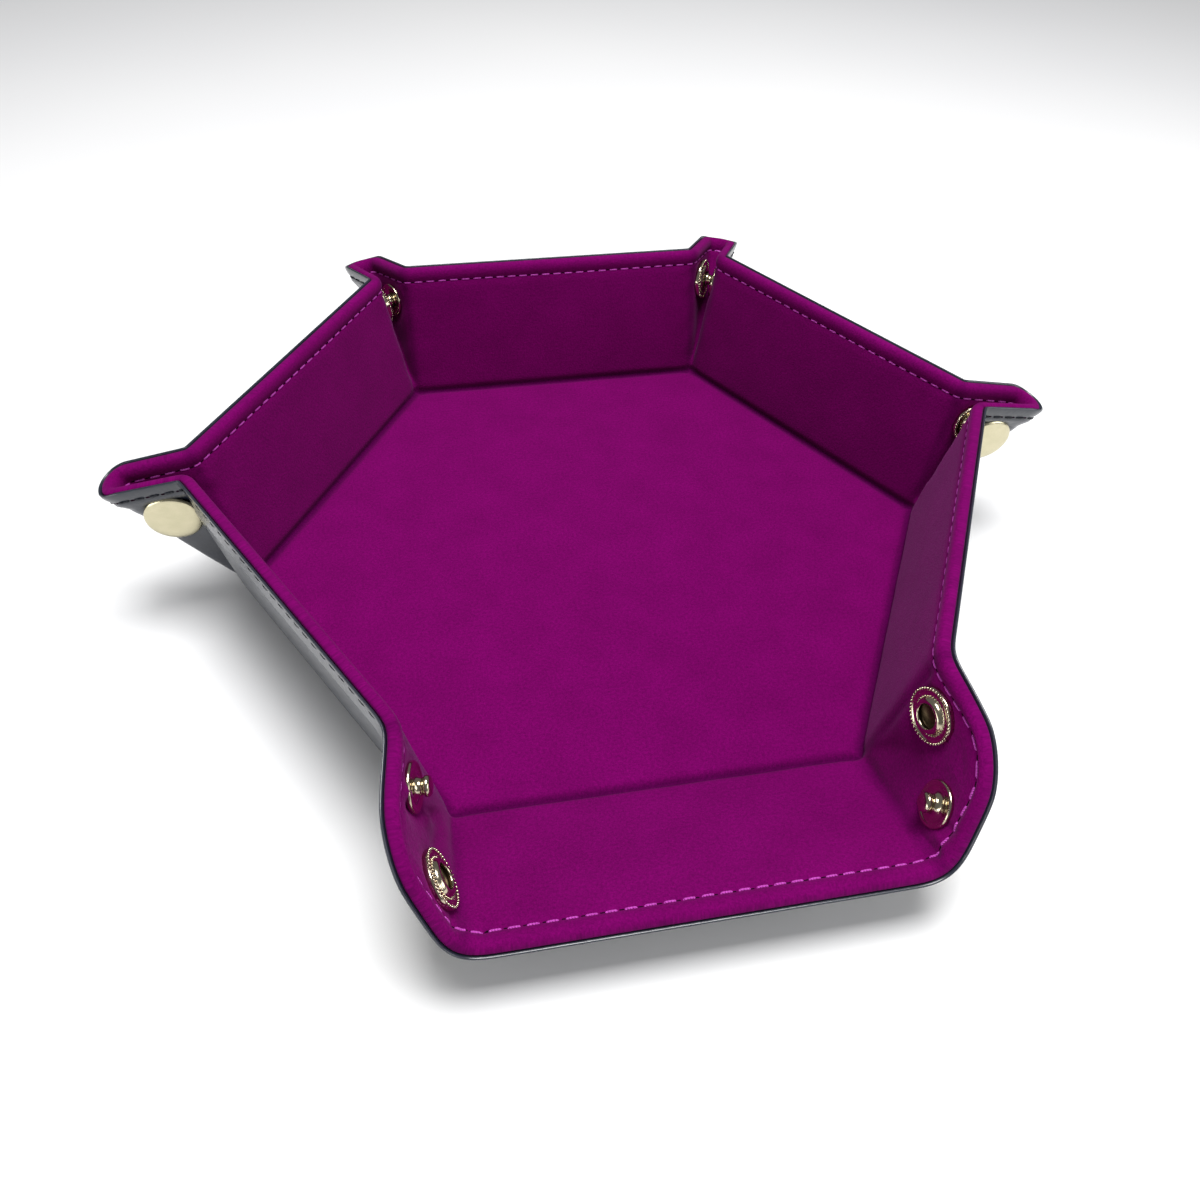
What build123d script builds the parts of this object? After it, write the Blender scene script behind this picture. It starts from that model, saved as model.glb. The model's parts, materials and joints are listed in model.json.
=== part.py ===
from build123d import *
import os
from math import acos, cos, radians, sin, sqrt, tan

# A hexagonal dice tray that folds flat.  One sheet of imitation leather outside and one sheet of
# velvet inside are sewn together round a floor board and six wall boards.  Each corner is a
# board-free gusset of two flaps, and a snap holds the two flaps face to face as an outward ear.
# Five walls stand up with four corners snapped; the front wall lies lowered with its corners open.
#
# Origin: centre of the floor's underside, +Z up, front wall towards -Y.  Millimetres and degrees.

# Driving dimensions
FLOOR_SIDE = 100.0
WALL_HEIGHT = 43.0
WALL_FOLD = 79.5
FRONT_WALL_FOLD = 20.5
LEATHER_THICK = 1.0
BOARD_THICK = 1.8
LINING_THICK = 1.2
OUTLINE_RADIUS = 14.0

# Room left beside each fold, so that the stiff panels clear each other while it bends
FLOOR_FOLD_GAP = 1.75
WALL_END_GAP = 2.5
FLAP_END_GAP = 1.5
CREASE_HALF_ANGLE = 4.0
WEB_BULGE = 12.0
FLAP_ROOT = 6.0
FLOOR_CORNER_CUT = 5.0

# The boards stop short of the sewn edges
BOARD_FOLD_MARGIN = 2.0
BOARD_RIM_MARGIN = 6.5
BOARD_CORNER_RADIUS = 3.0

# Snap fasteners
SNAP_FROM_END = 8.5
SNAP_FROM_FLOOR = 31.0
POST_RADIUS = 2.0
CAP_RADIUS = 7.2
CAP_EDGE = 0.7
CAP_DOME = 1.5
SOCKET_RADIUS = 6.6
SOCKET_HEIGHT = 2.2
SOCKET_EDGE_BEVEL = 0.6
SOCKET_FLOOR = 0.4
SOCKET_BORE_RADIUS = 3.2
SOCKET_LIP_RADIUS = 2.75
SOCKET_LIP_HEIGHT = 0.5
SOCKET_LIP_SLOPE = 0.3
STUD_BASE_RADIUS = 5.4
STUD_BASE_HEIGHT = 0.8
STUD_NECK_RADIUS = 1.75
STUD_NECK_FLARE = 0.6
STUD_KNOB_RADIUS = 2.2
STUD_HEIGHT = 3.8

# Worked out from the driving dimensions
SHEET_THICK = LEATHER_THICK + BOARD_THICK + LINING_THICK
SKIN_THICK = LEATHER_THICK + LINING_THICK
FLOOR_APOTHEM = FLOOR_SIDE * cos(radians(30))
FLAP_ANGLE = radians(30 - CREASE_HALF_ANGLE)

# Walls in turn, anticlockwise from above, each with its azimuth and its fold up from flat
WALLS = {
    "back_wall": (90, WALL_FOLD),
    "back_left_wall": (150, WALL_FOLD),
    "front_left_wall": (210, WALL_FOLD),
    "front_wall": (270, FRONT_WALL_FOLD),
    "front_right_wall": (330, WALL_FOLD),
    "back_right_wall": (30, WALL_FOLD),
}

# Corners, each with its azimuth and the two walls that meet there: first the one whose left end
# seen from inside is here (it carries the stud), then its neighbour (it carries the socket)
CORNERS = {
    "back_left_corner": (120, "back_wall", "back_left_wall"),
    "left_corner": (180, "back_left_wall", "front_left_wall"),
    "front_left_corner": (240, "front_left_wall", "front_wall"),
    "front_right_corner": (300, "front_wall", "front_right_wall"),
    "right_corner": (0, "front_right_wall", "back_right_wall"),
    "back_right_corner": (60, "back_right_wall", "back_wall"),
}


def level(azimuth):
    """Horizontal unit vector at an azimuth."""
    return Vector(cos(radians(azimuth)), sin(radians(azimuth)), 0)


def rise(wall):
    """Unit vector up a wall, from its floor fold to its rim."""
    azimuth, fold = WALLS[wall]
    return level(azimuth) * cos(radians(fold)) + Vector(0, 0, sin(radians(fold)))


def wall_plane(wall):
    """Lining face of a wall: y runs up the wall, z points into the tray."""
    azimuth, fold = WALLS[wall]
    foot = level(azimuth) * FLOOR_APOTHEM + Vector(0, 0, SHEET_THICK)
    inward = level(azimuth) * -sin(radians(fold)) + Vector(0, 0, cos(radians(fold)))
    return Plane(origin=foot, x_dir=level(azimuth - 90), z_dir=inward)


def floor_vertex(corner):
    """Point where three folds and the gusset crease meet, on the lining face."""
    azimuth = CORNERS[corner][0]
    return level(azimuth) * FLOOR_SIDE + Vector(0, 0, SHEET_THICK)


def flap_plane(corner, side):
    """Lining face of one flap of a corner: y runs up the wall's end, z is the lining's normal.

    Side -1 is the stud flap and +1 the socket flap, and the flap lies on that side of x = 0.
    The two flaps mirror each other, and their creased edges stand off the mirror plane by
    CREASE_HALF_ANGLE, which leaves room for the snap and for the rounded fold.  Beside the lowered
    wall the gusset is pulled nearly straight, and each flap leans out of line by WEB_BULGE.
    """
    azimuth, stud_wall, socket_wall = CORNERS[corner]
    mine = rise(stud_wall if side < 0 else socket_wall)
    other = rise(socket_wall if side < 0 else stud_wall)
    mirror = (mine - other).normalized()
    lean = mine.dot(mirror)
    towards = (mirror - mine * lean).normalized()
    outward = mine.cross(mirror).normalized()
    if outward.dot(level(azimuth)) < 0:
        outward = outward * -1
    reach = sin(radians(CREASE_HALF_ANGLE)) - lean * cos(FLAP_ANGLE)
    turn = acos(max(-cos(radians(WEB_BULGE)), reach / (sqrt(1 - lean**2) * sin(FLAP_ANGLE))))
    across = towards * cos(turn) + outward * sin(turn)
    return Plane(origin=floor_vertex(corner), x_dir=across * side, z_dir=across.cross(mine) * side)


def hexagon_outline(inset, corner_cut):
    """Regular hexagon in the floor, a straight cut taken off each corner."""
    radius = (FLOOR_APOTHEM - inset) / cos(radians(30))
    RegularPolygon(radius, side_count=6)
    chamfer(vertices(Select.LAST), length=corner_cut)


def wall_outline(fold_inset, end_inset, rim_inset, corner_radius):
    """Rectangle from the floor fold to the rim, with rounded corners."""
    length = FLOOR_SIDE - 2 * end_inset
    height = WALL_HEIGHT - fold_inset - rim_inset
    with Locations((0, fold_inset)):
        RectangleRounded(length, height, corner_radius, align=(Align.CENTER, Align.MIN))


def flap_outline(side):
    """Half of a corner gusset, with the rounded tip of the tray's flat outline."""
    centre_x = (WALL_HEIGHT - OUTLINE_RADIUS) * tan(radians(30))
    centre_y = WALL_HEIGHT - OUTLINE_RADIUS
    along = centre_x * sin(FLAP_ANGLE) + centre_y * cos(FLAP_ANGLE)
    reach = along + sqrt(along**2 - centre_x**2 - centre_y**2 + OUTLINE_RADIUS**2)
    tip = (side * reach * sin(FLAP_ANGLE), reach * cos(FLAP_ANGLE))
    with BuildLine() as border:
        end_edge = Line((side * FLAP_END_GAP, FLAP_ROOT), (side * FLAP_END_GAP, WALL_HEIGHT))
        rim = Line(end_edge @ 1, (side * centre_x, WALL_HEIGHT))
        rounded_tip = TangentArc(rim @ 1, tip, tangent=(side, 0))
        creased_edge = Line(rounded_tip @ 1, (side * FLAP_ROOT * tan(FLAP_ANGLE), FLAP_ROOT))
        Line(creased_edge @ 1, end_edge @ 0)
    make_face(border.edges())
    with Locations((side * SNAP_FROM_END, SNAP_FROM_FLOOR)):
        Circle(POST_RADIUS, mode=Mode.SUBTRACT)


def save(part, label):
    """Name a finished piece and write it."""
    part.label = label
    export_step(part, f"parts/{label}.step")


def build_panel(label, plane, outline, board_outline):
    """Leather with a pocket, the board in the pocket, and the lining, under a lining face."""
    under_lining = plane.offset(-LINING_THICK)

    with BuildPart() as leather:
        with BuildSketch(under_lining):
            outline()
        extrude(amount=-(BOARD_THICK + LEATHER_THICK))
        with BuildSketch(under_lining):
            board_outline()
        extrude(amount=-BOARD_THICK, mode=Mode.SUBTRACT)
    save(leather.part, f"{label}_leather")

    with BuildPart() as board:
        with BuildSketch(under_lining):
            board_outline()
        extrude(amount=-BOARD_THICK)
    save(board.part, f"{label}_board")

    with BuildPart() as lining:
        with BuildSketch(plane):
            outline()
        extrude(amount=-LINING_THICK)
    save(lining.part, f"{label}_lining")


def build_flap(label, plane, side):
    """Leather and lining of one flap, each with the hole for the snap's post."""
    with BuildPart() as leather:
        with BuildSketch(plane.offset(-LINING_THICK)):
            flap_outline(side)
        extrude(amount=-LEATHER_THICK)
    save(leather.part, f"{label}_leather")

    with BuildPart() as lining:
        with BuildSketch(plane):
            flap_outline(side)
        extrude(amount=-LINING_THICK)
    save(lining.part, f"{label}_lining")


def snap_section(plane, side):
    """Plane through a snap's axis: x is the radius, y is the height above the lining."""
    centre = plane.from_local_coords(Vector(side * SNAP_FROM_END, SNAP_FROM_FLOOR, 0))
    return Plane(origin=centre, x_dir=plane.x_dir, z_dir=plane.x_dir.cross(plane.z_dir))


def cap_profile():
    """Half section of the domed cap and the post that goes through the flap."""
    under = -SKIN_THICK
    edge = under - CAP_EDGE
    crown = under - CAP_DOME
    with BuildLine() as border:
        Polyline((0, crown), (0, 0), (POST_RADIUS, 0), (POST_RADIUS, under), (CAP_RADIUS, under))
        Line((CAP_RADIUS, under), (CAP_RADIUS, edge))
        TangentArc((0, crown), (CAP_RADIUS, edge), tangent=(1, 0))
    make_face(border.edges())


def socket_profile():
    """Half section of the socket: a shallow cup with an inward lip round its bore."""
    under_lip = SOCKET_HEIGHT - SOCKET_LIP_HEIGHT
    with BuildLine() as border:
        Polyline(
            (0, 0),
            (SOCKET_RADIUS, 0),
            (SOCKET_RADIUS, SOCKET_HEIGHT - SOCKET_EDGE_BEVEL),
            (SOCKET_RADIUS - SOCKET_EDGE_BEVEL, SOCKET_HEIGHT),
            (SOCKET_LIP_RADIUS, SOCKET_HEIGHT),
            (SOCKET_LIP_RADIUS, under_lip),
            (SOCKET_BORE_RADIUS, under_lip - SOCKET_LIP_SLOPE),
            (SOCKET_BORE_RADIUS, SOCKET_FLOOR),
            (0, SOCKET_FLOOR),
            close=True,
        )
    make_face(border.edges())


def stud_profile():
    """Half section of the stud: a ringed base, a neck and a rounded knob."""
    knob_centre = STUD_HEIGHT - STUD_KNOB_RADIUS / 2
    with BuildLine() as border:
        Polyline(
            (0, STUD_HEIGHT),
            (0, 0),
            (STUD_BASE_RADIUS, 0),
            (STUD_BASE_RADIUS, STUD_BASE_HEIGHT),
            (STUD_NECK_RADIUS + STUD_NECK_FLARE, STUD_BASE_HEIGHT),
            (STUD_NECK_RADIUS, STUD_BASE_HEIGHT + STUD_NECK_FLARE),
            (STUD_NECK_RADIUS, knob_centre - STUD_NECK_FLARE),
            (STUD_KNOB_RADIUS, knob_centre),
        )
        TangentArc((0, STUD_HEIGHT), (STUD_KNOB_RADIUS, knob_centre), tangent=(1, 0))
    make_face(border.edges())


def build_snap(label, plane, side, half_profile):
    """One half of a snap, riveted through its flap: the cap outside, the socket or stud inside."""
    section = snap_section(plane, side)
    turning_axis = Axis(origin=section.origin, direction=section.y_dir)
    with BuildPart() as cap:
        with BuildSketch(section):
            cap_profile()
        revolve(axis=turning_axis)
    with BuildPart() as half:
        with BuildSketch(section):
            half_profile()
        revolve(axis=turning_axis)
    save(Compound(children=[cap.part, half.part]), label)


def main():
    os.makedirs("parts", exist_ok=True)

    def floor_outline():
        hexagon_outline(FLOOR_FOLD_GAP, FLOOR_CORNER_CUT)

    def floor_board_outline():
        hexagon_outline(FLOOR_FOLD_GAP + BOARD_FOLD_MARGIN, FLOOR_CORNER_CUT)

    def wall_skin_outline():
        wall_outline(FLOOR_FOLD_GAP, WALL_END_GAP, 0.0, FLOOR_FOLD_GAP)

    def wall_board_outline():
        fold_inset = FLOOR_FOLD_GAP + BOARD_FOLD_MARGIN
        end_inset = WALL_END_GAP + BOARD_FOLD_MARGIN
        wall_outline(fold_inset, end_inset, BOARD_RIM_MARGIN, BOARD_CORNER_RADIUS)

    floor_plane = Plane.XY.offset(SHEET_THICK)
    build_panel("floor", floor_plane, floor_outline, floor_board_outline)

    for wall in WALLS:
        build_panel(wall, wall_plane(wall), wall_skin_outline, wall_board_outline)

    for corner in CORNERS:
        for side, half_name, profile in ((-1, "stud", stud_profile), (1, "socket", socket_profile)):
            plane = flap_plane(corner, side)
            build_flap(f"{corner}_{half_name}_flap", plane, side)
            build_snap(f"{corner}_{half_name}", plane, side, profile)


main()
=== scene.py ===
"""A folding dice tray.  Its two sewn sheets are laid out flat, and then folded over the CAD frame.

Flat points are in millimetres, in the plane that the tray makes when every fold is opened.  A height
is measured from the lining's face along the lining's own normal, so the leather has negative heights.
"""

import json
from math import atan2, cos, hypot, pi, radians, sin, tan

import bmesh
import bpy
import numpy as np
from mathutils import Matrix, Vector

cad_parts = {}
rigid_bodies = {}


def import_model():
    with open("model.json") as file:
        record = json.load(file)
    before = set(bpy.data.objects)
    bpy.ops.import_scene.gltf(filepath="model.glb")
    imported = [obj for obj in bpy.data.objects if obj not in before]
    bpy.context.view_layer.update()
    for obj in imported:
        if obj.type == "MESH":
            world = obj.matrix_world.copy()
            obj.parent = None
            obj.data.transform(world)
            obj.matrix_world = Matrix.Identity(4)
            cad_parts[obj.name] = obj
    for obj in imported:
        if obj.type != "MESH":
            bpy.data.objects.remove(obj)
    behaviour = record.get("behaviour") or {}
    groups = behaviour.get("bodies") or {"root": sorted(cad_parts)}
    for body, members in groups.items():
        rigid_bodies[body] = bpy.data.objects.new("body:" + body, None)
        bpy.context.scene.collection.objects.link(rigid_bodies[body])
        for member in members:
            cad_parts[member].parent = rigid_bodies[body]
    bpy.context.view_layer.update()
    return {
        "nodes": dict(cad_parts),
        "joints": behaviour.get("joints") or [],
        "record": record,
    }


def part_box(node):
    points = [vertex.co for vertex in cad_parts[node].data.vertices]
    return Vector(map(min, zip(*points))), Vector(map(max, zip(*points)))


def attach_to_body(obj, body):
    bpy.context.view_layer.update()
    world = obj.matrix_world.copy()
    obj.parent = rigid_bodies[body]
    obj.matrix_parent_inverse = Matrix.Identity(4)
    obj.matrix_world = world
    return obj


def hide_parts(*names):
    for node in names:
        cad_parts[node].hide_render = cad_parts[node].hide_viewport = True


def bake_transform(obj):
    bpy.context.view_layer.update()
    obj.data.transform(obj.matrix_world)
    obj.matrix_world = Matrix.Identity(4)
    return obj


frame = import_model()

METRE = 1000.0

# ---------------------------------------------------------------- sizes read from the frame

JOINTS = frame["joints"]
RATIOS = {c["joint"]: c["ratio"] for c in frame["record"]["behaviour"]["couplings"]}
FLOOR_FOLDS = sorted(
    (j for j in JOINTS if j["parent"] == "floor"),
    key=lambda j: atan2(j["pos_m"][1], j["pos_m"][0]) % (2 * pi),
)
WALLS = [j["child"] for j in FLOOR_FOLDS]
FREE_FOLD = next(j for j in JOINTS if j["name"] not in RATIOS)

APOTHEM = hypot(*FLOOR_FOLDS[0]["pos_m"][:2]) * METRE
HALF_SIDE = APOTHEM * tan(radians(30))
LINING_LEVEL = FLOOR_FOLDS[0]["pos_m"][2] * METRE
WALL_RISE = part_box("back_wall_lining")[1].z * METRE - LINING_LEVEL
WALL_HEIGHT = WALL_RISE / sin(radians(-FREE_FOLD["range_deg"][0]))
BOARD_BACKED = LINING_LEVEL

# ---------------------------------------------------------------- sizes of the sewn sheets

SKIN = 2.2
OUTLINE_RADIUS = 14.0
FLAP_ANGLE = radians(26)
CORNER_ANGLE = radians(60)
BOARD_FOLD_MARGIN = 3.75
BOARD_END_MARGIN = 4.5
BOARD_RIM_MARGIN = 6.5

FLOOR_FOLD_SOFTNESS = 2.0
EAR_SOFTNESS = 3.8
OPEN_CORNER_SOFTNESS = 7.5
FOLD_REACH = 2.4
END_REACH = 3.5

STITCH_PITCH = 3.9
STITCH_LENGTH = 3.0
THREAD_RADIUS = 0.27
LINING_SEAM = 4.6
LEATHER_SEAM = 3.2

# Rim profiles as (distance in from the outline, height), from the panel to the tucked edge
WELT = [
    (5.3, -0.08), (4.9, -0.34), (4.6, -0.46), (4.3, -0.34), (3.8, 0.0), (3.0, 0.3), (2.1, 0.42),
    (1.2, 0.3), (0.55, -0.05), (0.2, -0.6), (0.08, -1.3), (0.15, -2.0), (0.5, -2.4), (1.6, -2.5),
]
LEATHER_EDGE = [
    (4.4, -3.25), (3.7, -3.15), (3.2, -3.0), (2.7, -3.1), (1.9, -3.28), (0.9, -3.36), (0.2, -3.3),
    (-0.12, -3.12), (-0.2, -2.9), (-0.05, -2.68), (0.5, -2.58), (1.4, -2.55),
]
RIM_START = 7.0
LINING_SEAM_HEIGHT = -0.46
LEATHER_SEAM_HEIGHT = -3.0
LEATHER_OPEN_CUT = -3.0
CREASE_SPLIT = 26.0

# Creases of the two open corners: (corner, start, end, depth, half width).  A start or end is the
# distance from the floor's corner and the angle from the stud wall's end.  A ridge's depth is negative.
CREASES = [
    ("front_right_corner", (31, 2), (40, 1), 0.6, 0.9),
    ("front_right_corner", (34, 7), (40, 5), -0.5, 1.0),
    ("front_right_corner", (36, 11), (41, 11), 0.45, 0.9),
    ("front_right_corner", (9, 40), (24, 33), 0.5, 1.8),
    ("front_right_corner", (12, 54), (35, 59), 0.35, 1.6),
    ("front_left_corner", (36, 22), (15, 25), 0.8, 1.1),
    ("front_left_corner", (37, 18), (24, 26), -0.9, 1.5),
    ("front_left_corner", (14, 30), (27, 40), 0.6, 2.0),
    ("front_left_corner", (35, 55), (40, 56), 0.5, 0.8),
    ("front_left_corner", (36, 61), (40, 62), -0.4, 0.9),
    ("front_left_corner", (36, 66), (40, 67), 0.4, 0.8),
]
LEATHER_SHARE_OF_CREASES = 0.35

# How far the rim is drawn in at the two open corners, and how far round them that reaches
RIM_DRAWN_IN = 1.8
RIM_DRAWN_REACH = 17.0

SNAP_FROM_END = 8.5
SNAP_FROM_FLOOR = 31.0

# ---------------------------------------------------------------- the flat pattern


def level(azimuth):
    return np.array([np.cos(azimuth), np.sin(azimuth)]).T


WALL_AZIMUTHS = np.array([atan2(j["pos_m"][1], j["pos_m"][0]) for j in FLOOR_FOLDS])
OUTWARD = level(WALL_AZIMUTHS)
ALONG = level(WALL_AZIMUTHS + pi / 2)
VERTICES = OUTWARD * APOTHEM + ALONG * HALF_SIDE
STUD_FLAPS = [
    next(j["child"] for j in JOINTS if j["parent"] == w and "_stud_flap" in j["child"]) for w in WALLS
]
CORNERS = [flap.replace("_stud_flap", "") for flap in STUD_FLAPS]
SOCKET_FLAPS = [f"{corner}_socket_flap" for corner in CORNERS]
PARENT = {j["child"]: j["parent"] for j in JOINTS}
SNAPPED = [PARENT[socket] == stud for socket, stud in zip(SOCKET_FLAPS, STUD_FLAPS)]
BODIES = ["floor", *WALLS, *STUD_FLAPS, *SOCKET_FLAPS]


def gusset_point(corner, radius, turned):
    """Flat point at a distance from a floor corner, turned from its stud wall's end."""
    return VERTICES[corner] + radius * level(WALL_AZIMUTHS[corner] + turned)


def turning(point, axis, angle):
    """Matrix of a turn about a line."""
    there = Matrix.Translation(Vector(point) * METRE)
    return np.array(there @ Matrix.Rotation(angle, 4, Vector(axis)) @ there.inverted())


def folding_matrices():
    """For each body, the matrix that takes it from the opened flat tray to its place at rest."""
    opened = {"floor": np.eye(4)}
    waiting = list(JOINTS)
    while waiting:
        joint = next(j for j in waiting if j["parent"] in opened)
        angle = radians(FREE_FOLD["range_deg"][0] * RATIOS.get(joint["name"], 1.0))
        turn = turning(joint["pos_m"], joint["axis"], angle)
        opened[joint["child"]] = opened[joint["parent"]] @ turn
        waiting.remove(joint)
    return np.array([np.linalg.inv(opened[body]) for body in BODIES])


FOLDING = folding_matrices()


def place(flat):
    """Where flat points lie in the pattern: wall index, height up the wall, distance along it."""
    heights = flat @ OUTWARD.T
    wall = heights.argmax(1)
    up = heights.max(1) - APOTHEM
    along = (flat * ALONG[wall]).sum(1)
    return wall, up, along


def on_body(body, flat):
    """Rest position of flat points on the lining's face of a rigid body."""
    local = np.column_stack([flat, np.full(len(flat), LINING_LEVEL), np.ones(len(flat))])
    return np.einsum("nij,nj->ni", FOLDING[body][:, :3], local)


def normals_on(body):
    return FOLDING[body][:, :3, 2]


def sharp_fold(flat):
    """Rest positions and lining normals, with each fold a sharp line and each ear's nose cut square."""
    wall, up, along = place(flat)
    beyond = np.abs(along) - HALF_SIDE
    turned = np.arctan2(beyond, up)
    gusset = (up > 0) & (beyond > 0)
    stud_side = along > 0
    corner = np.where(stud_side, wall, (wall - 1) % 6)
    body = np.where(up <= 0, 0, 1 + wall)
    body = np.where(gusset, np.where(stud_side, 7, 13) + corner, body)
    position = on_body(body, flat)
    normal = normals_on(body)

    nose = gusset & (turned > FLAP_ANGLE)
    if nose.any():
        c = corner[nose]
        radius = np.hypot(beyond, up)[nose][:, None]
        turned = np.where(stud_side, turned, CORNER_ANGLE - turned)[nose]
        share = ((turned - FLAP_ANGLE) / (CORNER_ANGLE - 2 * FLAP_ANGLE))[:, None]
        lean_out, lean_along = radius * cos(FLAP_ANGLE), radius * sin(FLAP_ANGLE)
        following = (c + 1) % 6
        near = on_body(7 + c, VERTICES[c] + OUTWARD[c] * lean_out + ALONG[c] * lean_along)
        far_flat = VERTICES[c] + OUTWARD[following] * lean_out - ALONG[following] * lean_along
        far = on_body(13 + c, far_flat)
        position[nose] = near * (1 - share) + far * share
        vertex = on_body(np.zeros(len(c), int), VERTICES[c])
        across = np.cross(far - near, (far + near) / 2 - vertex)
        facing = (across * (normals_on(7 + c) + normals_on(13 + c))).sum(1)
        length = np.linalg.norm(across, axis=1) + 1e-12
        normal[nose] = across * (np.sign(facing) / length)[:, None]
    return position, normal


def smoothstep(value, low, high):
    t = np.clip((value - low) / (high - low), 0, 1)
    return t * t * (3 - 2 * t)


def softness(flat):
    """Half width of the bend in the sheets, which widens up the corners, most where none is snapped."""
    wall, up, along = place(flat)
    snapped = np.array(SNAPPED)[np.where(along > 0, wall, (wall - 1) % 6)]
    at_rim = np.where(snapped, EAR_SOFTNESS, OPEN_CORNER_SOFTNESS)
    rounding = 1.4 * np.exp(-((vertex_distance(flat) / 6) ** 2))
    return FLOOR_FOLD_SOFTNESS + (at_rim - FLOOR_FOLD_SOFTNESS) * smoothstep(up, 2, 34) + rounding


def vertex_distance(flat):
    """Distance to the nearest corner of the floor."""
    return np.min([np.hypot(*(flat - v).T) for v in VERTICES], axis=0)


def fold(flat, height):
    """Rest position of points at a height over the flat pattern, each fold softened to a round bend."""
    width = softness(flat)[:, None]
    position = np.zeros((len(flat), 3))
    normal = np.zeros((len(flat), 3))
    total = 0.0
    for ring, count in enumerate((1, 7, 13, 19)):
        distance = ring / 3.5
        for step in range(count):
            turn = 2 * pi * (step + 0.37 * ring) / count
            weight = 1 - distance**2
            shifted = flat + width * distance * np.array([cos(turn), sin(turn)])
            sample, facing = sharp_fold(shifted)
            position += sample * weight
            normal += facing * weight
            total += weight
    normal /= np.linalg.norm(normal, axis=1)[:, None]
    return position / total + normal * np.asarray(height)[:, None]


# ---------------------------------------------------------------- heights of the two sheets


def ripple(flat, wavelength, seed):
    """Gentle unevenness, from -1 to 1."""
    rng = np.random.default_rng(seed)
    total = np.zeros(len(flat))
    for _ in range(6):
        heading = rng.uniform(0, 2 * pi)
        wave = 2 * pi / (wavelength * rng.uniform(0.6, 1.5))
        total += np.sin(flat @ np.array([cos(heading), sin(heading)]) * wave + rng.uniform(0, 6))
    return total / 3


def snap_centres():
    """(corner index, 'stud' or 'socket', flat centre) of each half snap."""
    centres = []
    for c in range(6):
        following = (c + 1) % 6
        lift = SNAP_FROM_FLOOR
        stud = VERTICES[c] + OUTWARD[c] * lift + ALONG[c] * SNAP_FROM_END
        socket = VERTICES[c] + OUTWARD[following] * lift - ALONG[following] * SNAP_FROM_END
        centres += [(c, "stud", stud), (c, "socket", socket)]
    return centres


def board_share(flat):
    """1 over a board, 0 where the two sheets lie on each other."""
    _, up, along = place(flat)
    on_floor = smoothstep(-up, BOARD_FOLD_MARGIN - 1.2, BOARD_FOLD_MARGIN + 0.8)
    inside = np.minimum.reduce([
        up - BOARD_FOLD_MARGIN,
        HALF_SIDE - BOARD_END_MARGIN - np.abs(along),
        WALL_HEIGHT - BOARD_RIM_MARGIN - up,
    ])
    return np.where(up < 0, on_floor, smoothstep(inside, -1.2, 0.8))


def fold_lines(flat):
    """How near points are to a floor fold and to a wall's end, both from 0 to 1."""
    _, up, along = place(flat)
    beyond = np.maximum(np.abs(along) - HALF_SIDE, 0)
    floor_fold = np.exp(-(up**2 + beyond**2) / 1.05**2)
    wall_end = np.exp(-((np.abs(along) - HALF_SIDE) / 1.8) ** 2) * smoothstep(up, 0, 6)
    return floor_fold, wall_end


def creased(flat):
    """Change of height where the open corners' cloth is creased and pleated."""
    change = np.zeros(len(flat))
    for corner, *ends, depth, half_width in CREASES:
        k = CORNERS.index(corner)
        start, end = (gusset_point(k, radius, radians(angle)) for radius, angle in ends)
        line = end - start
        share = ((flat - start) @ line) / (line @ line)
        away = np.hypot(*(flat - start - np.clip(share, 0, 1)[:, None] * line).T)
        change -= depth * np.exp(-((away / half_width) ** 2))
    return change


def drawn_in(flat):
    """Points of the pattern, with the rim of the two open corners drawn in by its stitching."""
    _, up, _ = place(flat)
    moved = flat.copy()
    for k, snapped in enumerate(SNAPPED):
        if snapped:
            continue
        heading = level(WALL_AZIMUTHS[k] + CORNER_ANGLE / 2)
        centre = heading * (APOTHEM + WALL_HEIGHT - OUTLINE_RADIUS) / cos(CORNER_ANGLE / 2)
        away = flat - centre
        distance = np.hypot(*away.T)
        side = np.abs(away @ np.array([-heading[1], heading[0]]))
        on_arc = side < distance * sin(CORNER_ANGLE / 2)
        from_rim = np.where(on_arc, OUTLINE_RADIUS - distance, WALL_HEIGHT - up)
        near = np.exp(-((np.hypot(*(away - heading * OUTLINE_RADIUS).T) / RIM_DRAWN_REACH) ** 2))
        share = near * (1 - smoothstep(from_rim, 0.5, LINING_SEAM))
        towards = centre - flat
        moved += towards / np.hypot(*towards.T)[:, None] * (RIM_DRAWN_IN * share)[:, None]
    return moved


def pressed(flat, radius, depth, width):
    """Dent that the twelve snap halves press round themselves."""
    dent = np.zeros(len(flat))
    for _, _, centre in snap_centres():
        distance = np.hypot(*(flat - centre).T)
        dent += depth * smoothstep(radius + width - distance, 0, width)
    return dent


def lining_height(flat):
    floor_fold, wall_end = fold_lines(flat)
    _, up, _ = place(flat)
    pucker = 0.6 * np.exp(-((vertex_distance(flat) / 2.6) ** 2))
    slack = 1 - board_share(flat)
    uneven = 0.05 * ripple(flat, 26, 3) + slack * 0.14 * ripple(flat, 9, 5) * smoothstep(up, 1, 8)
    return uneven - 1.25 * floor_fold - 0.4 * wall_end - pucker - pressed(flat, 5.6, 0.35, 2.4)


def leather_height(flat):
    floor_fold, _ = fold_lines(flat)
    thickness = SKIN + (BOARD_BACKED - SKIN) * board_share(flat)
    slack = 1 - board_share(flat)
    _, up, _ = place(flat)
    uneven = slack * 0.1 * ripple(flat, 11, 8) * smoothstep(up, 1, 8)
    return uneven - thickness - 0.3 * floor_fold + pressed(flat, 6.9, 0.25, 2.0)


# ---------------------------------------------------------------- the flat grids


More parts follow.
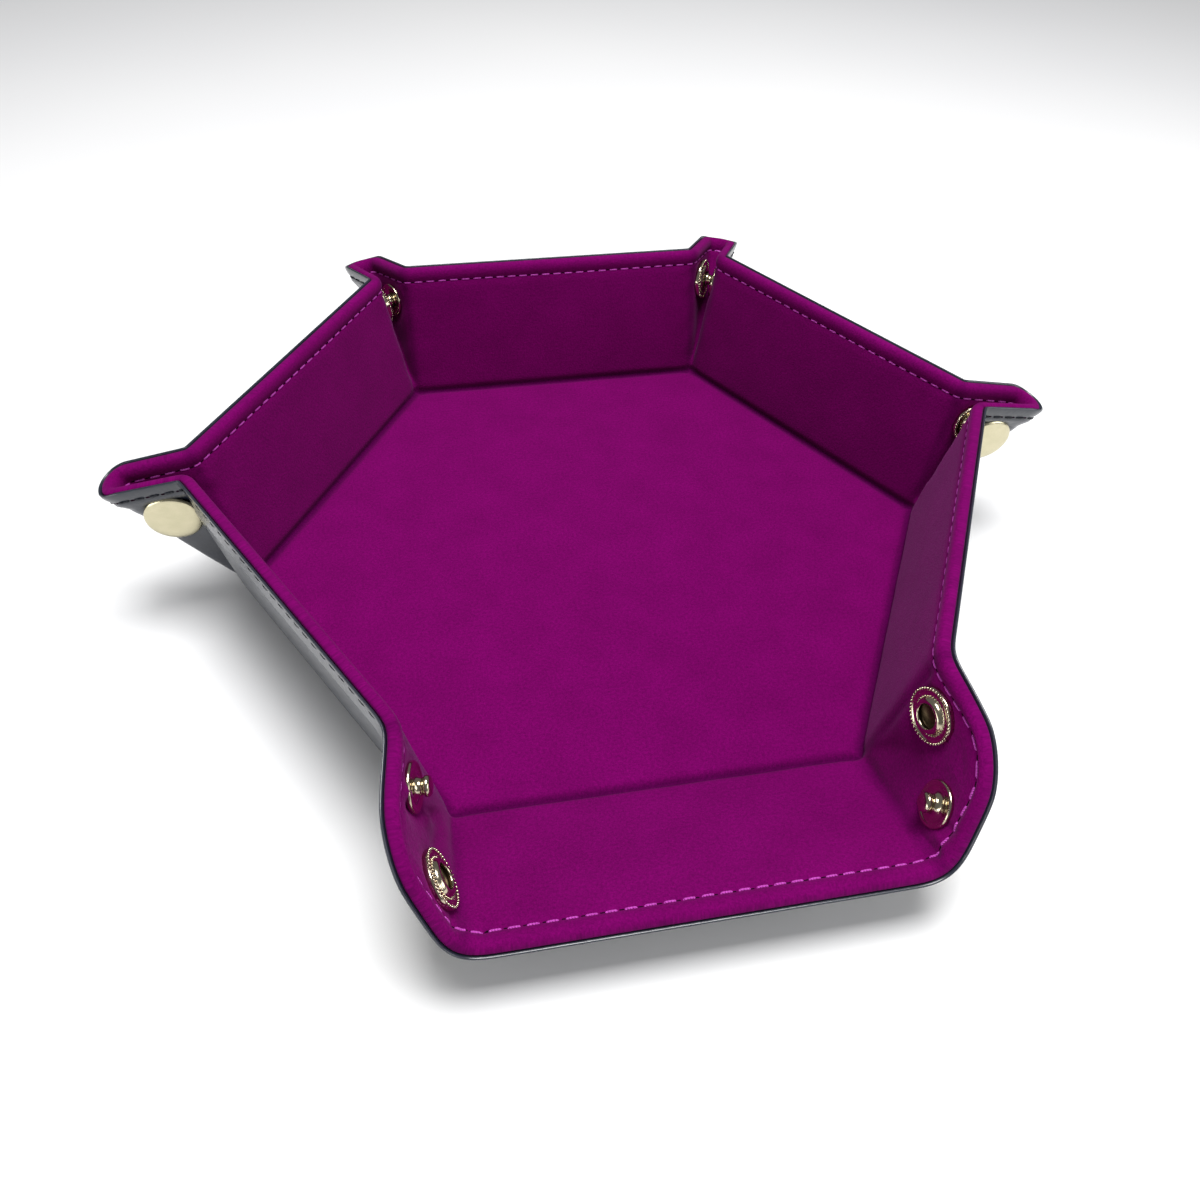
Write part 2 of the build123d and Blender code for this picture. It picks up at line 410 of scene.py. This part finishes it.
def graded(start, stop, fine, coarse, growth=1.22):
    """Positions from start to stop, closely spaced at both ends."""
    half, steps, step = (stop - start) / 2, [0.0], fine
    while steps[-1] + step < half:
        steps.append(steps[-1] + step)
        step = min(step * growth, coarse)
    left = start + np.array(steps) * (half / (steps[-1] + step / 2))
    return np.concatenate([left, (start + stop - left)[::-1]])


def outline_reach(turned, inset):
    """Distance from a floor vertex to the outline taken in by inset, along a ray through the gusset."""
    centre_x = (WALL_HEIGHT - OUTLINE_RADIUS) * tan(CORNER_ANGLE / 2)
    centre_y = WALL_HEIGHT - OUTLINE_RADIUS
    turned = np.where(turned > CORNER_ANGLE / 2, CORNER_ANGLE - turned, turned)
    straight = (WALL_HEIGHT - inset) / np.cos(turned)
    towards = centre_x * np.sin(turned) + centre_y * np.cos(turned)
    radius = OUTLINE_RADIUS - inset
    rounded = towards + np.sqrt(np.maximum(towards**2 - centre_x**2 - centre_y**2 + radius**2, 0))
    return np.where(straight * np.sin(turned) < centre_x, straight, rounded)


def rings(edge):
    """(distance in from the outline, height or None) of the rows from a floor fold out to the rim."""
    up = graded(0, WALL_HEIGHT - RIM_START, 0.42, 2.3)
    return [(WALL_HEIGHT - u, None) for u in up] + list(edge)


def sheet_grid(edge):
    """Flat points, set heights (nan where the sheet's own height holds) and faces of a whole sheet."""
    points, heights, faces = [], [], []

    def add_grid(grid, set_heights):
        rows, columns = grid.shape[:2]
        start = sum(len(p) for p in points)
        points.append(grid.reshape(-1, 2))
        heights.append(np.repeat(set_heights, columns))
        for i in range(rows - 1):
            for j in range(columns - 1):
                a = start + i * columns + j
                faces.append((a, a + 1, a + columns + 1, a + columns))

    insets = rings(edge)
    ring_heights = np.array([np.nan if h is None else h for _, h in insets])
    along = graded(-HALF_SIDE, HALF_SIDE, 0.6, 2.3)
    inward = APOTHEM - graded(0, APOTHEM * 2, 0.42, 3.2)
    inward = inward[inward > 0]
    gusset = np.linspace(0, CORNER_ANGLE, 61)
    for k in range(6):
        floor_rows = np.concatenate([[0.0], inward[::-1]])
        grid = (
            floor_rows[:, None, None] * OUTWARD[k]
            + (floor_rows / APOTHEM)[:, None, None] * along[None, :, None] * ALONG[k]
        )
        add_grid(grid, np.full(len(floor_rows), np.nan))
        up = np.array([WALL_HEIGHT - d for d, _ in insets])
        grid = (APOTHEM + up)[:, None, None] * OUTWARD[k] + along[None, :, None] * ALONG[k]
        add_grid(grid, ring_heights)
        start_reach = outline_reach(gusset, RIM_START)
        rows = []
        for inset, _ in insets:
            if inset >= RIM_START:
                reach = (WALL_HEIGHT - inset) / (WALL_HEIGHT - RIM_START) * start_reach
            else:
                reach = outline_reach(gusset, inset)
            rows.append(VERTICES[k] + reach[:, None] * level(WALL_AZIMUTHS[k] + gusset))
        add_grid(np.array(rows), ring_heights)
    return np.concatenate(points), np.concatenate(heights), faces


def merged(flat, heights, faces):
    """The same sheet with the points that its grids share merged."""
    key = np.round(np.column_stack([flat, np.nan_to_num(heights, nan=9.0)]), 3)
    _, first, index = np.unique(key, axis=0, return_index=True, return_inverse=True)
    index = index.ravel()
    kept = []
    for face in faces:
        corners = list(dict.fromkeys(index[v] for v in face))
        if len(corners) > 2:
            kept.append(corners)
    return flat[first], heights[first], kept


# ---------------------------------------------------------------- pieces


def zone(flat, open_cut):
    """Index of the panel that each flat point belongs to: a body, or 19 + corner for an ear's crease."""
    wall, up, along = place(flat)
    beyond = np.abs(along) - HALF_SIDE
    stud_side = along > 0
    corner = np.where(stud_side, wall, (wall - 1) % 6)
    snapped = np.array(SNAPPED)[corner]
    turned = np.arctan2(np.maximum(beyond, 0), np.maximum(up, 1e-6))
    flap = np.where(stud_side, 7, 13) + corner
    end_strip = np.where(~stud_side & snapped, open_cut, -END_REACH)
    panel = np.where(up < -FOLD_REACH, 0, 1 + wall)
    panel = np.where((up > 0) & (beyond > end_strip), flap, panel)
    crease = snapped & (up > 0) & (beyond > 0) & (turned > FLAP_ANGLE)
    upper = np.hypot(beyond, up) > CREASE_SPLIT
    return np.where(crease, np.where(upper, 25, 19) + corner, panel)


PANELS = BODIES + [f"{c}_crease_low" for c in CORNERS] + [f"{c}_crease" for c in CORNERS]


def attach(piece, panel):
    """Attaches a floor piece to the floor's body and a snapped socket flap's piece to that flap's body;
    every other piece keeps its rest place, and the fold line worked out for it is not used.
    """
    index = PANELS.index(panel)
    if index == 0:
        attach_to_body(piece, "floor")
        return
    if index <= 6:
        k = index - 1
        middle = OUTWARD[k] * APOTHEM
        ends = [middle - OUTWARD[k] * FOLD_REACH, middle + OUTWARD[k] * FOLD_REACH]
    elif index < 19:
        c = (index - 7) % 6
        stud = index < 13
        wall = c if stud else (c + 1) % 6
        side = 1 if stud else -1
        if not stud and SNAPPED[c]:
            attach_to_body(piece, SOCKET_FLAPS[c])
            return
        line = VERTICES[c] + OUTWARD[wall] * SNAP_FROM_FLOOR
        ends = [line + ALONG[wall] * side * reach for reach in (-END_REACH, END_REACH)]
    else:
        c = (index - 19) % 6
        radius = WALL_HEIGHT - 4 if index >= 25 else CREASE_SPLIT * 0.6
        ends = [gusset_point(c, radius, a) for a in (FLAP_ANGLE, CORNER_ANGLE - FLAP_ANGLE)]
    start, end = fold(np.array(ends), np.zeros(2)) / METRE
    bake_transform(piece)


def vertex_normals(position, faces):
    """Area-weighted normals of a whole folded sheet."""
    normals = np.zeros_like(position)
    for size in (3, 4):
        group = np.array([f for f in faces if len(f) == size])
        if not len(group):
            continue
        face_normal = np.cross(
            position[group[:, 2]] - position[group[:, 0]],
            position[group[:, -1]] - position[group[:, 1]],
        )
        for corner in range(size):
            np.add.at(normals, group[:, corner], face_normal)
    return normals / (np.linalg.norm(normals, axis=1)[:, None] + 1e-12)


def add_value(piece, name, values):
    """Keeps a value at each vertex for the materials."""
    attribute = piece.data.attributes.new(name, "FLOAT", "POINT")
    attribute.data.foreach_set("value", np.asarray(values, np.float32))


def make_mesh(name, position, faces, material, normals=None, flat=None):
    """A smooth mesh object in metres, with the flat pattern as its texture map."""
    mesh = bpy.data.meshes.new(name)
    mesh.from_pydata(position / METRE, [], [list(map(int, f)) for f in faces])
    mesh.polygons.foreach_set("use_smooth", [True] * len(mesh.polygons))
    if flat is not None:
        layer = mesh.uv_layers.new(name="pattern")
        corners = np.zeros(len(mesh.loops), int)
        mesh.loops.foreach_get("vertex_index", corners)
        layer.data.foreach_set("uv", (flat[corners] / METRE).ravel())
    if normals is not None:
        mesh.normals_split_custom_set_from_vertices(normals)
    mesh.materials.append(material)
    piece = bpy.data.objects.new(name, mesh)
    bpy.context.scene.collection.objects.link(piece)
    return piece


def build_sheet(layer, edge, height_of, material, open_cut, outside, creasing):
    """Folds a whole sheet, and cuts it into the panels that move apart."""
    flat, set_height, faces = merged(*sheet_grid(edge))
    own = height_of(flat)
    height = np.where(np.isnan(set_height), own, set_height) + creasing * creased(flat)
    position = fold(drawn_in(flat), height)
    if outside:
        faces = [f[::-1] for f in faces]
    normals = vertex_normals(position, faces)
    centres = np.array([flat[f].mean(0) for f in faces])
    panels = zone(centres, open_cut)
    # Painted shade for the velvet: how near each vertex is to a floor fold or a wall's end, where the
    # grooves fall into shade.
    floor_fold, wall_end = fold_lines(flat)
    fold_shade = np.maximum(floor_fold, 0.45 * wall_end)
    pieces = {}
    for index, panel in enumerate(PANELS):
        chosen = [f for f, p in zip(faces, panels) if p == index]
        if not chosen:
            continue
        used = np.unique(np.concatenate(chosen))
        renumber = np.full(len(flat), -1)
        renumber[used] = np.arange(len(used))
        local = [renumber[f] for f in chosen]
        name = f"{panel}_{layer}_sheet"
        piece = make_mesh(name, position[used], local, material, normals[used], flat[used])
        # The 'fold' value carries the painted shade of the grooves to the velvet.
        add_value(piece, "fold", fold_shade[used])
        attach(piece, panel)
        node = f"{panel}_{layer}"
        if node in frame["nodes"]:
            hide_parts(node)
        pieces[panel] = (piece, flat[used], local)
    return pieces


def declare_cloth(sheets, threads):
    """Goes through each panel but an ear's crease strips, gathering its stitches, and for a stud flap also
    its ear's narrow crease strips and their stitches. Nothing is done with what is gathered.
    """
    for panel, (piece, flat, faces) in sheets.items():
        if "_crease" in panel:
            continue
        with_pieces = [threads[panel]] if panel in threads else []
        if panel.endswith("_stud_flap"):
            strips = [panel.replace("_stud_flap", end) for end in ("_crease_low", "_crease")]
            with_pieces += [sheets[s][0] for s in strips if s in sheets]
            with_pieces += [threads[s] for s in strips if s in threads]


# ---------------------------------------------------------------- stitching


def rim_path(distance, inset):
    """Flat points at distances along the outline taken in by inset, and the inward direction."""
    straight = 2 * (HALF_SIDE + (WALL_HEIGHT - OUTLINE_RADIUS) * tan(CORNER_ANGLE / 2))
    radius = OUTLINE_RADIUS - inset
    arc = radius * CORNER_ANGLE
    distance = np.asarray(distance) % (6 * (straight + arc))
    k = (distance // (straight + arc)).astype(int)
    rest = distance - k * (straight + arc)
    on_line = rest < straight
    rim = (APOTHEM + WALL_HEIGHT - inset)
    line = OUTWARD[k] * rim + ALONG[k] * (rest - straight / 2)[:, None]
    azimuth = WALL_AZIMUTHS[k] + (rest - straight) / radius
    centre = OUTWARD[k] * (rim - radius) + ALONG[k] * (straight / 2)
    curve = centre + level(azimuth) * radius
    inward = np.where(on_line[:, None], -OUTWARD[k], -level(azimuth))
    return np.where(on_line[:, None], line, curve), inward


def rim_length(inset):
    straight = 2 * (HALF_SIDE + (WALL_HEIGHT - OUTLINE_RADIUS) * tan(CORNER_ANGLE / 2))
    return 6 * (straight + (OUTLINE_RADIUS - inset) * CORNER_ANGLE)


def build_stitches(layer, inset, seam_height, facing, material, hole_material, open_cut, creasing):
    """A thread stitch every pitch along the rim, each dipping into its needle holes."""
    length = rim_length(inset)
    count = int(round(length / STITCH_PITCH))
    pitch = length / count
    stations = np.linspace(-0.5, 0.5, 9)
    sides = 8
    middles = (np.arange(count) + 0.5) * pitch
    panels = zone(rim_path(middles, inset)[0], open_cut)
    pieces = {}
    for index, panel in enumerate(PANELS):
        chosen = middles[panels == index]
        if not len(chosen):
            continue
        flat, height, faces, slots = [], [], [], []
        for middle in chosen:
            wander = 0.12 * sin(middle * 1.7)
            s = middle + stations * STITCH_LENGTH
            centre, inward = rim_path(s, inset + wander)
            arch = 0.55 * np.sqrt(np.maximum(1 - (2 * stations) ** 4, 0)) - 0.42
            girth = THREAD_RADIUS * (0.72 + 0.28 * np.sqrt(np.maximum(1 - (2 * stations) ** 6, 0)))
            start = sum(len(f) for f in flat)
            for turn in np.arange(sides) * 2 * pi / sides:
                flat.append(centre + inward * (girth * cos(turn))[:, None])
                lift = facing * (arch + girth * sin(turn))
                height.append(seam_height + lift + creasing * creased(flat[-1]))
            n = len(stations)
            for side in range(sides):
                a, b = start + side * n, start + (side + 1) % sides * n
                for i in range(n - 1):
                    faces.append((a + i, a + i + 1, b + i + 1, b + i))
                    slots.append(0)
            hole, inward = rim_path(np.array([middle + pitch / 2]), inset)
            along = np.array([[-inward[0][1], inward[0][0]]])
            start = sum(len(f) for f in flat)
            for turn in np.arange(sides) * 2 * pi / sides:
                flat.append(hole + along * 0.62 * cos(turn) + inward * 0.34 * sin(turn))
                height.append(seam_height + facing * 0.07 + creasing * creased(flat[-1]))
            faces.append(tuple(range(start, start + sides)))
            slots.append(1)
        flat = np.concatenate(flat)
        position = fold(drawn_in(flat), np.concatenate(height))
        if facing > 0:
            faces = [f[::-1] for f in faces]
        piece = make_mesh(f"{panel}_{layer}_thread", position, faces, material, flat=flat)
        piece.data.materials.append(hole_material)
        piece.data.polygons.foreach_set("material_index", slots)
        attach(piece, panel)
        pieces[panel] = piece
    return pieces


# ---------------------------------------------------------------- snaps


def lathe(profile, segments, facets=0):
    """Mesh of a profile of (radius, height) points turned about the z axis."""
    mesh = bmesh.new()
    loops = []
    for radius, height in profile:
        if radius == 0:
            loops.append([mesh.verts.new((0, 0, height))])
            continue
        loop = []
        for i in range(segments):
            turn = 2 * pi * i / segments
            cut = 1 - 0.012 * (1 - cos(facets * turn)) if facets and radius > 5 else 1
            loop.append(mesh.verts.new((radius * cut * cos(turn), radius * cut * sin(turn), height)))
        loops.append(loop)
    for first, second in zip(loops, loops[1:]):
        for i in range(segments):
            quad = [first[i % len(first)], first[(i + 1) % len(first)]]
            quad += [second[(i + 1) % len(second)], second[i % len(second)]]
            corners = list(dict.fromkeys(quad))
            if len(corners) > 2:
                mesh.faces.new(corners)
    return mesh


def add_beads(mesh, radius, height, bead, count):
    for i in range(count):
        turn = 2 * pi * i / count
        spot = Matrix.Translation((radius * cos(turn), radius * sin(turn), height))
        bmesh.ops.create_icosphere(mesh, subdivisions=2, radius=bead, matrix=spot)


CAP_PROFILE = [
    (6.1, -2.05), (6.75, -2.1), (7.12, -2.35), (7.2, -2.7), (7.05, -3.02), (6.6, -3.3), (5.8, -3.47),
    (4.6, -3.58), (3.0, -3.66), (1.5, -3.69), (0, -3.7),
]
SOCKET_PROFILE = [
    (6.5, -0.3), (6.6, 0.2), (6.6, 0.9), (6.5, 1.15), (6.3, 1.26), (6.0, 1.22), (5.8, 1.05), (5.6, 0.95),
    (4.6, 0.98), (4.35, 1.1), (4.15, 1.5), (3.95, 1.85), (3.65, 2.1), (3.3, 2.18), (2.95, 2.08),
    (2.74, 1.8), (2.85, 1.5), (3.2, 1.2), (3.2, 0.35), (0, 0.3),
]
STUD_PROFILE = [
    (5.3, -0.3), (5.4, 0.1), (5.36, 0.45), (5.15, 0.68), (4.8, 0.72), (4.5, 0.6), (4.1, 0.48),
    (3.4, 0.5), (2.8, 0.62), (2.3, 0.85), (2.0, 1.15), (1.8, 1.5), (1.74, 1.95), (1.82, 2.2),
    (2.12, 2.42), (2.25, 2.75), (2.2, 3.2), (2.0, 3.5), (1.6, 3.7), (1.0, 3.8), (0, 3.82),
]


def build_snap(corner, half, centre, metal, shiny, dark):
    """One half snap: the domed cap outside, and the stud or the beaded socket inside."""
    body = (7 if half == "stud" else 13) + corner
    there = Matrix(FOLDING[body].tolist()) @ Matrix.Translation((*centre, LINING_LEVEL))
    scale = Matrix.Scale(1 / METRE, 4)
    if half == "socket":
        inner = lathe(SOCKET_PROFILE, 96, facets=8)
        add_beads(inner, 6.2, 1.24, 0.33, 44)
        add_beads(inner, 4.42, 1.12, 0.25, 34)
    else:
        inner = lathe(STUD_PROFILE, 64)
    cap = lathe(CAP_PROFILE, 64)
    for name, mesh in ((f"{CORNERS[corner]}_{half}_cap", cap), (f"{CORNERS[corner]}_{half}_inner", inner)):
        bmesh.ops.recalc_face_normals(mesh, faces=mesh.faces)
        data = bpy.data.meshes.new(name)
        mesh.to_mesh(data)
        mesh.free()
        data.transform(scale @ there)
        data.polygons.foreach_set("use_smooth", [True] * len(data.polygons))
        data.materials.append(metal if name.endswith("cap") else shiny)
        data.materials.append(dark)
        piece = bpy.data.objects.new(name, data)
        bpy.context.scene.collection.objects.link(piece)
        # Painted shade: faces of the socket's bore, within 3.25 mm of its axis and below 1.3 mm, take the
        # near-black metal where shade falls in the recess.
        if name.endswith("socket_inner"):
            for polygon in data.polygons:
                local = there.inverted() @ (polygon.center * METRE).to_4d()
                if hypot(local.x, local.y) < 3.25 and local.z < 1.3:
                    polygon.material_index = 1
        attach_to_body(piece, BODIES[body])
        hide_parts(f"{CORNERS[corner]}_{half}")


# ---------------------------------------------------------------- materials


class Surface:
    """A Principled material with helpers for the nodes that feed it."""

    def __init__(self, name, **values):
        self.material = bpy.data.materials.new(name)
        self.material.use_nodes = True
        self.nodes = self.material.node_tree.nodes
        self.links = self.material.node_tree.links
        self.shader = self.nodes["Principled BSDF"]
        for socket, value in values.items():
            self.shader.inputs[socket.replace("_", " ")].default_value = value

    def node(self, kind, **values):
        made = self.nodes.new(kind)
        for name, value in values.items():
            socket = made.inputs.get(name.replace("_", " "))
            if socket is not None:
                socket.default_value = value
            else:
                setattr(made, name, value)
        return made

    def join(self, source, target):
        self.links.new(source, target)

    def pattern(self):
        """The flat pattern, in metres."""
        made = self.node("ShaderNodeUVMap")
        made.uv_map = "pattern"
        return made.outputs["UV"]

    def attribute(self, name):
        """A value that the mesh holds at each vertex."""
        made = self.node("ShaderNodeAttribute")
        made.attribute_name = name
        return made.outputs["Fac"]

    def noise(self, coordinates, scale, detail=3.0, roughness=0.55):
        made = self.node("ShaderNodeTexNoise", Scale=scale, Detail=detail, Roughness=roughness)
        self.join(coordinates, made.inputs["Vector"])
        return made.outputs["Fac"]

    def ramp(self, source, stops):
        made = self.node("ShaderNodeValToRGB")
        elements = made.color_ramp.elements
        while len(elements) < len(stops):
            elements.new(0.5)
        for element, (position, colour) in zip(elements, stops):
            element.position = position
            element.color = (*colour, 1)
        self.join(source, made.inputs["Fac"])
        return made.outputs["Color"]

    def span(self, source, low, high):
        made = self.node("ShaderNodeMapRange")
        made.inputs["To Min"].default_value = low
        made.inputs["To Max"].default_value = high
        self.join(source, made.inputs["Value"])
        return made.outputs["Result"]

    def mix(self, kind, factor, first, second):
        made = self.node("ShaderNodeMix")
        made.data_type = "RGBA"
        made.blend_type = kind
        made.inputs["Factor"].default_value = factor
        self.join(first, made.inputs["A"])
        self.join(second, made.inputs["B"])
        return made.outputs["Result"]

    def bump(self, layers):
        """Stacks (height source, depth in metres, strength) bumps."""
        previous = None
        for source, depth, strength in layers:
            made = self.node("ShaderNodeBump")
            made.inputs["Distance"].default_value = depth
            made.inputs["Strength"].default_value = strength
            self.join(source, made.inputs["Height"])
            if previous is not None:
                self.join(previous, made.inputs["Normal"])
            previous = made.outputs["Normal"]
        self.join(previous, self.shader.inputs["Normal"])


def velvet_material():
    """Short-pile velvet, the same over the whole sheet: brushed in patches, fine fibres, and painted shade
    that darkens the folds.
    """
    velvet = Surface(
        "magenta_velvet", Roughness=0.95, Sheen_Weight=0.08, Sheen_Roughness=0.4,
        Sheen_Tint=(0.9, 0.35, 0.9, 1), Specular_IOR_Level=0.03,
    )
    at = velvet.pattern()
    colour = velvet.ramp(
        velvet.noise(at, 70, 6, 0.62),
        [(0.32, (0.182, 0.0011, 0.112)), (0.68, (0.217, 0.0013, 0.134))],
    )
    tufts = velvet.ramp(
        velvet.noise(at, 1300, 4, 0.7),
        [(0.34, (0.66, 0.66, 0.69)), (0.68, (1.0, 1.0, 1.0))],
    )
    fibres = velvet.ramp(velvet.noise(at, 3000, 2), [(0.3, (0.6, 0.6, 0.64)), (0.74, (1.0, 1.0, 1.0))])
    # Painted shade: the velvet is darkened to about half, and cooled a little, along the floor folds and
    # the walls' ends, where shade falls in the grooves.
    worn_and_painted_shade = velvet.ramp(velvet.attribute("fold"), [(0.0, (1.0, 1.0, 1.0)), (0.9, (0.5, 0.45, 0.55))])
    for factor, layer in ((1.0, tufts), (0.8, fibres), (1.0, worn_and_painted_shade)):
        colour = velvet.mix("MULTIPLY", factor, colour, layer)
    velvet.join(colour, velvet.shader.inputs["Base Color"])
    velvet.bump([
        (velvet.noise(at, 1800, 3), 0.00022, 0.7),
        (velvet.noise(at, 240, 3), 0.0004, 0.2),
    ])
    return velvet.material


def leather_material():
    """Fine-grained imitation leather, nearly black with a blue cast."""
    leather = Surface("navy_leather", Coat_Weight=0.35, Coat_Roughness=0.2, Specular_IOR_Level=0.6)
    at = leather.pattern()
    grain = leather.node("ShaderNodeTexVoronoi", Scale=900.0)
    grain.feature = "SMOOTH_F1"
    leather.join(at, grain.inputs["Vector"])
    tone = leather.ramp(
        leather.noise(at, 70, 5),
        [(0.3, (0.009, 0.012, 0.022)), (0.75, (0.018, 0.023, 0.037))],
    )
    leather.join(tone, leather.shader.inputs["Base Color"])
    leather.join(leather.span(leather.noise(at, 220, 4), 0.26, 0.42), leather.shader.inputs["Roughness"])
    leather.bump([
        (grain.outputs["Distance"], 0.0002, 0.3),
        (leather.noise(at, 90, 4), 0.0006, 0.2),
    ])
    return leather.material


def thread_material(name, dark, light):
    """Twisted thread."""
    thread = Surface(name, Roughness=0.55, Specular_IOR_Level=0.3)
    at = thread.pattern()
    colour = thread.ramp(thread.noise(at, 2600, 2), [(0.3, dark), (0.75, light)])
    thread.join(colour, thread.shader.inputs["Base Color"])
    twist = thread.node("ShaderNodeTexWave", Scale=1100.0, Distortion=1.2)
    twist.bands_direction = "DIAGONAL"
    thread.join(at, twist.inputs["Vector"])
    thread.bump([(twist.outputs["Fac"], 0.00018, 0.8)])
    return thread.material


def hole_material():
    """Shadowed needle hole."""
    hole = Surface("needle_hole", Roughness=0.95, Specular_IOR_Level=0.05)
    at = hole.pattern()
    colour = hole.ramp(hole.noise(at, 900, 2), [(0.3, (0.008, 0.001, 0.006)), (0.8, (0.02, 0.002, 0.014))])
    hole.join(colour, hole.shader.inputs["Base Color"])
    return hole.material


def metal_material(name, tone, worn_and_painted_shade, low, high):
    """Plated brass, brushed by handling; called with near-black tones it gives the painted shade of the
    socket's bore.
    """
    metal = Surface(name, Metallic=1.0)
    at = metal.node("ShaderNodeTexCoord").outputs["Object"]
    colour = metal.ramp(metal.noise(at, 420, 4), [(0.3, tone), (0.8, worn_and_painted_shade)])
    metal.join(colour, metal.shader.inputs["Base Color"])
    metal.join(metal.span(metal.noise(at, 900, 5), low, high), metal.shader.inputs["Roughness"])
    metal.bump([(metal.noise(at, 1600, 4), 0.00002, 0.2)])
    return metal.material


def board_material():
    """Grey board with fibre flecks, shut in between the sheets."""
    board = Surface("grey_board", Roughness=0.9)
    at = board.node("ShaderNodeTexCoord").outputs["Object"]
    colour = board.ramp(board.noise(at, 700, 6), [(0.35, (0.16, 0.14, 0.11)), (0.7, (0.34, 0.3, 0.25))])
    board.join(colour, board.shader.inputs["Base Color"])
    board.bump([(board.noise(at, 1200, 4), 0.0001, 0.5)])
    return board.material


# ---------------------------------------------------------------- camera, light and floor


def add_camera():
    """The photographer's view: over the front wall, a little from the left, rolled slightly."""
    azimuth, elevation, roll = radians(-11.6), radians(46.08), radians(1.88)
    target = Vector((-3.87, -24.36, 4.0)) / METRE
    distance = 271.43 / METRE
    back = Vector((sin(azimuth) * cos(elevation), -cos(azimuth) * cos(elevation), sin(elevation)))
    right = Vector((0, 0, 1)).cross(back).normalized()
    up = back.cross(right)
    rolled_right = right * cos(roll) + up * sin(roll)
    rolled_up = up * cos(roll) - right * sin(roll)
    data = bpy.data.cameras.new("camera")
    data.sensor_width = 36
    data.lens = 28.75
    data.clip_start = 0.01
    camera = bpy.data.objects.new("camera", data)
    turn = Matrix((rolled_right, rolled_up, back)).transposed().to_4x4()
    camera.matrix_world = Matrix.Translation(target + back * distance) @ turn
    bpy.context.scene.collection.objects.link(camera)
    bpy.context.scene.camera = camera


def add_area_light(name, place_at, aim, size, power, colour=(1, 1, 1)):
    data = bpy.data.lights.new(name, "AREA")
    data.shape = "RECTANGLE"
    data.size, data.size_y = size
    data.energy = power
    data.color = colour
    lamp = bpy.data.objects.new(name, data)
    lamp.location = place_at
    lamp.rotation_mode = "QUATERNION"
    lamp.rotation_quaternion = (Vector(aim) - Vector(place_at)).to_track_quat("-Z", "Y")
    bpy.context.scene.collection.objects.link(lamp)


def add_studio():
    """Pale floor and soft light from above, from the left and from the right."""
    floor = Surface("pale_floor", Roughness=0.8)
    at = floor.node("ShaderNodeTexCoord").outputs["Object"]
    colour = floor.ramp(floor.noise(at, 3, 2), [(0.3, (0.86, 0.86, 0.87)), (0.7, (0.9, 0.9, 0.9))])
    floor.join(colour, floor.shader.inputs["Base Color"])
    mesh = bpy.data.meshes.new("studio_floor")
    reach = 3.0
    corners = [(-reach, -reach, 0), (reach, -reach, 0), (reach, reach, 0), (-reach, reach, 0)]
    mesh.from_pydata(corners, [], [(0, 1, 2, 3)])
    mesh.materials.append(floor.material)
    ground = bpy.data.objects.new("studio_floor", mesh)
    ground.location.z = -0.0002
    bpy.context.scene.collection.objects.link(ground)
    world = bpy.data.worlds.new("studio")
    world.use_nodes = True
    background = world.node_tree.nodes["Background"]
    background.inputs["Color"].default_value = (0.97, 0.98, 1, 1)
    background.inputs["Strength"].default_value = 0.2
    bpy.context.scene.world = world
    add_area_light("overhead", (0.05, 0.0, 0.85), (0, 0, 0), (0.45, 0.45), 10.0)
    add_area_light("left", (-0.6, -0.3, 0.12), (0, 0, 0.0), (0.6, 0.16), 1.2)
    add_area_light("right", (0.55, -0.4, 0.3), (0, 0, 0.0), (0.5, 0.3), 1.6)
    bpy.context.scene.view_settings.view_transform = "Standard"


# ---------------------------------------------------------------- the tray

add_camera()
velvet = velvet_material()
leather = leather_material()
lilac = thread_material("lilac_thread", (0.4, 0.03, 0.35), (0.66, 0.1, 0.6))
black = thread_material("black_thread", (0.012, 0.013, 0.018), (0.035, 0.038, 0.05))
hole = hole_material()
gold = metal_material("pale_gold", (0.53, 0.49, 0.33), (0.6, 0.55, 0.38), 0.2, 0.28)
polished = metal_material("polished_gold", (0.46, 0.4, 0.29), (0.6, 0.52, 0.39), 0.12, 0.2)
# The near-black metal for the socket's bore is painted shade in the recess.
painted_bore_shade = metal_material("socket_bore", (0.05, 0.035, 0.02), (0.1, 0.07, 0.04), 0.35, 0.5)
board = board_material()

share = LEATHER_SHARE_OF_CREASES
lining_sheets = build_sheet("lining", WELT, lining_height, velvet, 0.0, False, 1.0)
leather_sheets = build_sheet(
    "leather", LEATHER_EDGE, leather_height, leather, LEATHER_OPEN_CUT, True, share,
)
lining_threads = build_stitches("lining", LINING_SEAM, LINING_SEAM_HEIGHT, 1, lilac, hole, 0.0, 1.0)
leather_threads = build_stitches(
    "leather", LEATHER_SEAM, LEATHER_SEAM_HEIGHT, -1, black, hole, LEATHER_OPEN_CUT, share,
)
declare_cloth(lining_sheets, lining_threads)
declare_cloth(leather_sheets, leather_threads)
for corner, half, centre in snap_centres():
    build_snap(corner, half, centre, gold, polished, painted_bore_shade)
for name, node in frame["nodes"].items():
    if name.endswith("_board"):
        node.data.materials.clear()
        node.data.materials.append(board)

add_studio()
